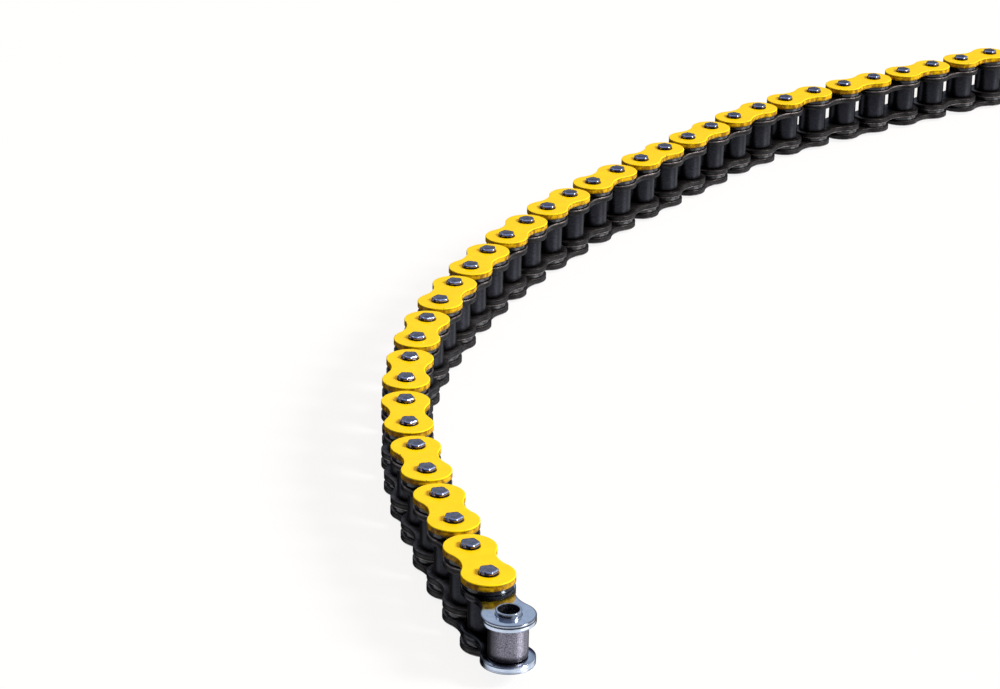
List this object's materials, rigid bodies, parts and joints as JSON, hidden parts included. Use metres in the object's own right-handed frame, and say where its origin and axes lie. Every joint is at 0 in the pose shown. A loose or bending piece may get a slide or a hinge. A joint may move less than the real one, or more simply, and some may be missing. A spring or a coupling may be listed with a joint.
{
  "type": "motorcycle drive chain",
  "caption": "Sealed roller chain for a motorcycle's rear drive: yellow outer plates, riveted pins, dark roller links and an open first link; bends at every pin.",
  "frame": {"origin": "middle of the first link's free bush, halfway between the two rows of plates", "axes": "+Z along the pins, +Y along the first link away from its free end; the chain then curves towards +X"},
  "size_m": [0.3679, 0.4183, 0.0226],
  "materials": {
    "yellow_paint": "satin",
    "pin_steel": "satin",
    "dark_steel": "satin",
    "bright_steel": "polished",
    "roller_steel": "satin",
    "seal_rubber": "satin"
  },
  "bodies": {
    "roller_link_01": {"end_inner_plates": "bright_steel", "end_bushes": "bright_steel", "end_seals": "seal_rubber"},
    "end_roller": {"end_roller": "roller_steel"},
    "second_roller": {"second_roller": "roller_steel"},
    "pin_link_01": {"outer_plates_01": "yellow_paint", "pins_01": "pin_steel"},
    "roller_link_02": {"roller_link_02": "dark_steel"},
    "pin_link_02": {"outer_plates_02": "yellow_paint", "pins_02": "pin_steel"},
    "roller_link_03": {"roller_link_03": "dark_steel"},
    "pin_link_03": {"outer_plates_03": "yellow_paint", "pins_03": "pin_steel"},
    "roller_link_04": {"roller_link_04": "dark_steel"},
    "pin_link_04": {"outer_plates_04": "yellow_paint", "pins_04": "pin_steel"},
    "roller_link_05": {"roller_link_05": "dark_steel"},
    "pin_link_05": {"outer_plates_05": "yellow_paint", "pins_05": "pin_steel"},
    "roller_link_06": {"roller_link_06": "dark_steel"},
    "pin_link_06": {"outer_plates_06": "yellow_paint", "pins_06": "pin_steel"},
    "roller_link_07": {"roller_link_07": "dark_steel"},
    "pin_link_07": {"outer_plates_07": "yellow_paint", "pins_07": "pin_steel"},
    "roller_link_08": {"roller_link_08": "dark_steel"},
    "pin_link_08": {"outer_plates_08": "yellow_paint", "pins_08": "pin_steel"},
    "roller_link_09": {"roller_link_09": "dark_steel"},
    "pin_link_09": {"outer_plates_09": "yellow_paint", "pins_09": "pin_steel"},
    "roller_link_10": {"roller_link_10": "dark_steel"},
    "pin_link_10": {"outer_plates_10": "yellow_paint", "pins_10": "pin_steel"},
    "roller_link_11": {"roller_link_11": "dark_steel"},
    "pin_link_11": {"outer_plates_11": "yellow_paint", "pins_11": "pin_steel"},
    "roller_link_12": {"roller_link_12": "dark_steel"},
    "pin_link_12": {"outer_plates_12": "yellow_paint", "pins_12": "pin_steel"},
    "roller_link_13": {"roller_link_13": "dark_steel"},
    "pin_link_13": {"outer_plates_13": "yellow_paint", "pins_13": "pin_steel"},
    "roller_link_14": {"roller_link_14": "dark_steel"},
    "pin_link_14": {"outer_plates_14": "yellow_paint", "pins_14": "pin_steel"},
    "roller_link_15": {"roller_link_15": "dark_steel"},
    "pin_link_15": {"outer_plates_15": "yellow_paint", "pins_15": "pin_steel"},
    "roller_link_16": {"roller_link_16": "dark_steel"},
    "pin_link_16": {"outer_plates_16": "yellow_paint", "pins_16": "pin_steel"},
    "roller_link_17": {"roller_link_17": "dark_steel"},
    "pin_link_17": {"outer_plates_17": "yellow_paint", "pins_17": "pin_steel"},
    "roller_link_18": {"roller_link_18": "dark_steel"},
    "pin_link_18": {"outer_plates_18": "yellow_paint", "pins_18": "pin_steel"},
    "roller_link_19": {"roller_link_19": "dark_steel"}
  },
  "joints": [
    {"name": "end_roller_spin", "type": "hinge", "parent": "roller_link_01", "child": "end_roller", "pos_m": [0, 0, 0], "axis": [0, 0, 1], "continuous": true},
    {"name": "second_roller_spin", "type": "hinge", "parent": "roller_link_01", "child": "second_roller", "pos_m": [0, 0.01588, 0], "axis": [0, 0, 1], "continuous": true},
    {"name": "bend_01", "type": "hinge", "parent": "roller_link_01", "child": "pin_link_01", "pos_m": [0, 0.01588, 0], "axis": [0, 0, -1], "range_deg": [-111.27, 108.73]},
    {"name": "bend_02", "type": "hinge", "parent": "pin_link_01", "child": "roller_link_02", "pos_m": [0.00035, 0.03175, 0], "axis": [0, 0, 1], "range_deg": [-108.73, 111.27]},
    {"name": "bend_03", "type": "hinge", "parent": "roller_link_02", "child": "pin_link_02", "pos_m": [0.00106, 0.04761, 0], "axis": [0, 0, -1], "range_deg": [-111.27, 108.73]},
    {"name": "bend_04", "type": "hinge", "parent": "pin_link_02", "child": "roller_link_03", "pos_m": [0.00211, 0.06345, 0], "axis": [0, 0, 1], "range_deg": [-108.73, 111.27]},
    {"name": "bend_05", "type": "hinge", "parent": "roller_link_03", "child": "pin_link_03", "pos_m": [0.00352, 0.07926, 0], "axis": [0, 0, -1], "range_deg": [-111.27, 108.73]},
    {"name": "bend_06", "type": "hinge", "parent": "pin_link_03", "child": "roller_link_04", "pos_m": [0.00527, 0.09504, 0], "axis": [0, 0, 1], "range_deg": [-106.37, 113.63]},
    {"name": "bend_07", "type": "hinge", "parent": "roller_link_04", "child": "pin_link_04", "pos_m": [0.00802, 0.11067, 0], "axis": [0, 0, -1], "range_deg": [-113.63, 106.37]},
    {"name": "bend_08", "type": "hinge", "parent": "pin_link_04", "child": "roller_link_05", "pos_m": [0.01176, 0.1261, 0], "axis": [0, 0, 1], "range_deg": [-106.37, 113.63]},
    {"name": "bend_09", "type": "hinge", "parent": "roller_link_05", "child": "pin_link_05", "pos_m": [0.01646, 0.14126, 0], "axis": [0, 0, -1], "range_deg": [-113.63, 106.37]},
    {"name": "bend_10", "type": "hinge", "parent": "pin_link_05", "child": "roller_link_06", "pos_m": [0.02212, 0.15609, 0], "axis": [0, 0, 1], "range_deg": [-106.37, 113.63]},
    {"name": "bend_11", "type": "hinge", "parent": "roller_link_06", "child": "pin_link_06", "pos_m": [0.0287, 0.17054, 0], "axis": [0, 0, -1], "range_deg": [-113.63, 106.37]},
    {"name": "bend_12", "type": "hinge", "parent": "pin_link_06", "child": "roller_link_07", "pos_m": [0.03619, 0.18454, 0], "axis": [0, 0, 1], "range_deg": [-106.37, 113.63]},
    {"name": "bend_13", "type": "hinge", "parent": "roller_link_07", "child": "pin_link_07", "pos_m": [0.04454, 0.19804, 0], "axis": [0, 0, -1], "range_deg": [-112.31, 107.69]},
    {"name": "bend_14", "type": "hinge", "parent": "pin_link_07", "child": "roller_link_08", "pos_m": [0.05344, 0.21119, 0], "axis": [0, 0, 1], "range_deg": [-107.69, 112.31]},
    {"name": "bend_15", "type": "hinge", "parent": "roller_link_08", "child": "pin_link_08", "pos_m": [0.06285, 0.22397, 0], "axis": [0, 0, -1], "range_deg": [-112.31, 107.69]},
    {"name": "bend_16", "type": "hinge", "parent": "pin_link_08", "child": "roller_link_09", "pos_m": [0.07278, 0.23636, 0], "axis": [0, 0, 1], "range_deg": [-107.69, 112.31]},
    {"name": "bend_17", "type": "hinge", "parent": "roller_link_09", "child": "pin_link_09", "pos_m": [0.08319, 0.24834, 0], "axis": [0, 0, -1], "range_deg": [-112.31, 107.69]},
    {"name": "bend_18", "type": "hinge", "parent": "pin_link_09", "child": "roller_link_10", "pos_m": [0.09408, 0.25989, 0], "axis": [0, 0, 1], "range_deg": [-107.69, 112.31]},
    {"name": "bend_19", "type": "hinge", "parent": "roller_link_10", "child": "pin_link_10", "pos_m": [0.10543, 0.271, 0], "axis": [0, 0, -1], "range_deg": [-112.31, 107.69]},
    {"name": "bend_20", "type": "hinge", "parent": "pin_link_10", "child": "roller_link_11", "pos_m": [0.11721, 0.28163, 0], "axis": [0, 0, 1], "range_deg": [-107.69, 112.31]},
    {"name": "bend_21", "type": "hinge", "parent": "roller_link_11", "child": "pin_link_11", "pos_m": [0.12941, 0.29179, 0], "axis": [0, 0, -1], "range_deg": [-112.31, 107.69]},
    {"name": "bend_22", "type": "hinge", "parent": "pin_link_11", "child": "roller_link_12", "pos_m": [0.14202, 0.30144, 0], "axis": [0, 0, 1], "range_deg": [-109.59, 110.41]},
    {"name": "bend_23", "type": "hinge", "parent": "roller_link_12", "child": "pin_link_12", "pos_m": [0.15469, 0.311, 0], "axis": [0, 0, -1], "range_deg": [-110.41, 109.59]},
    {"name": "bend_24", "type": "hinge", "parent": "pin_link_12", "child": "roller_link_13", "pos_m": [0.16743, 0.32047, 0], "axis": [0, 0, 1], "range_deg": [-109.59, 110.41]},
    {"name": "bend_25", "type": "hinge", "parent": "roller_link_13", "child": "pin_link_13", "pos_m": [0.18024, 0.32985, 0], "axis": [0, 0, -1], "range_deg": [-110.41, 109.59]},
    {"name": "bend_26", "type": "hinge", "parent": "pin_link_13", "child": "roller_link_14", "pos_m": [0.19311, 0.33914, 0], "axis": [0, 0, 1], "range_deg": [-109.59, 110.41]},
    {"name": "bend_27", "type": "hinge", "parent": "roller_link_14", "child": "pin_link_14", "pos_m": [0.20605, 0.34834, 0], "axis": [0, 0, -1], "range_deg": [-114.07, 105.93]},
    {"name": "bend_28", "type": "hinge", "parent": "pin_link_14", "child": "roller_link_15", "pos_m": [0.21961, 0.35659, 0], "axis": [0, 0, 1], "range_deg": [-105.93, 114.07]},
    {"name": "bend_29", "type": "hinge", "parent": "roller_link_15", "child": "pin_link_15", "pos_m": [0.23372, 0.36386, 0], "axis": [0, 0, -1], "range_deg": [-114.07, 105.93]},
    {"name": "bend_30", "type": "hinge", "parent": "pin_link_15", "child": "roller_link_16", "pos_m": [0.24831, 0.37012, 0], "axis": [0, 0, 1], "range_deg": [-105.93, 114.07]},
    {"name": "bend_31", "type": "hinge", "parent": "roller_link_16", "child": "pin_link_16", "pos_m": [0.26331, 0.37532, 0], "axis": [0, 0, -1], "range_deg": [-110.38, 109.62]},
    {"name": "bend_32", "type": "hinge", "parent": "pin_link_16", "child": "roller_link_17", "pos_m": [0.27835, 0.38042, 0], "axis": [0, 0, 1], "range_deg": [-109.62, 110.38]},
    {"name": "bend_33", "type": "hinge", "parent": "roller_link_17", "child": "pin_link_17", "pos_m": [0.29341, 0.38542, 0], "axis": [0, 0, -1], "range_deg": [-110.38, 109.62]},
    {"name": "bend_34", "type": "hinge", "parent": "pin_link_17", "child": "roller_link_18", "pos_m": [0.30851, 0.39032, 0], "axis": [0, 0, 1], "range_deg": [-109.62, 110.38]},
    {"name": "bend_35", "type": "hinge", "parent": "roller_link_18", "child": "pin_link_18", "pos_m": [0.32365, 0.39512, 0], "axis": [0, 0, -1], "range_deg": [-110.38, 109.62]},
    {"name": "bend_36", "type": "hinge", "parent": "pin_link_18", "child": "roller_link_19", "pos_m": [0.33881, 0.39982, 0], "axis": [0, 0, 1], "range_deg": [-109.62, 110.38]}
  ]
}
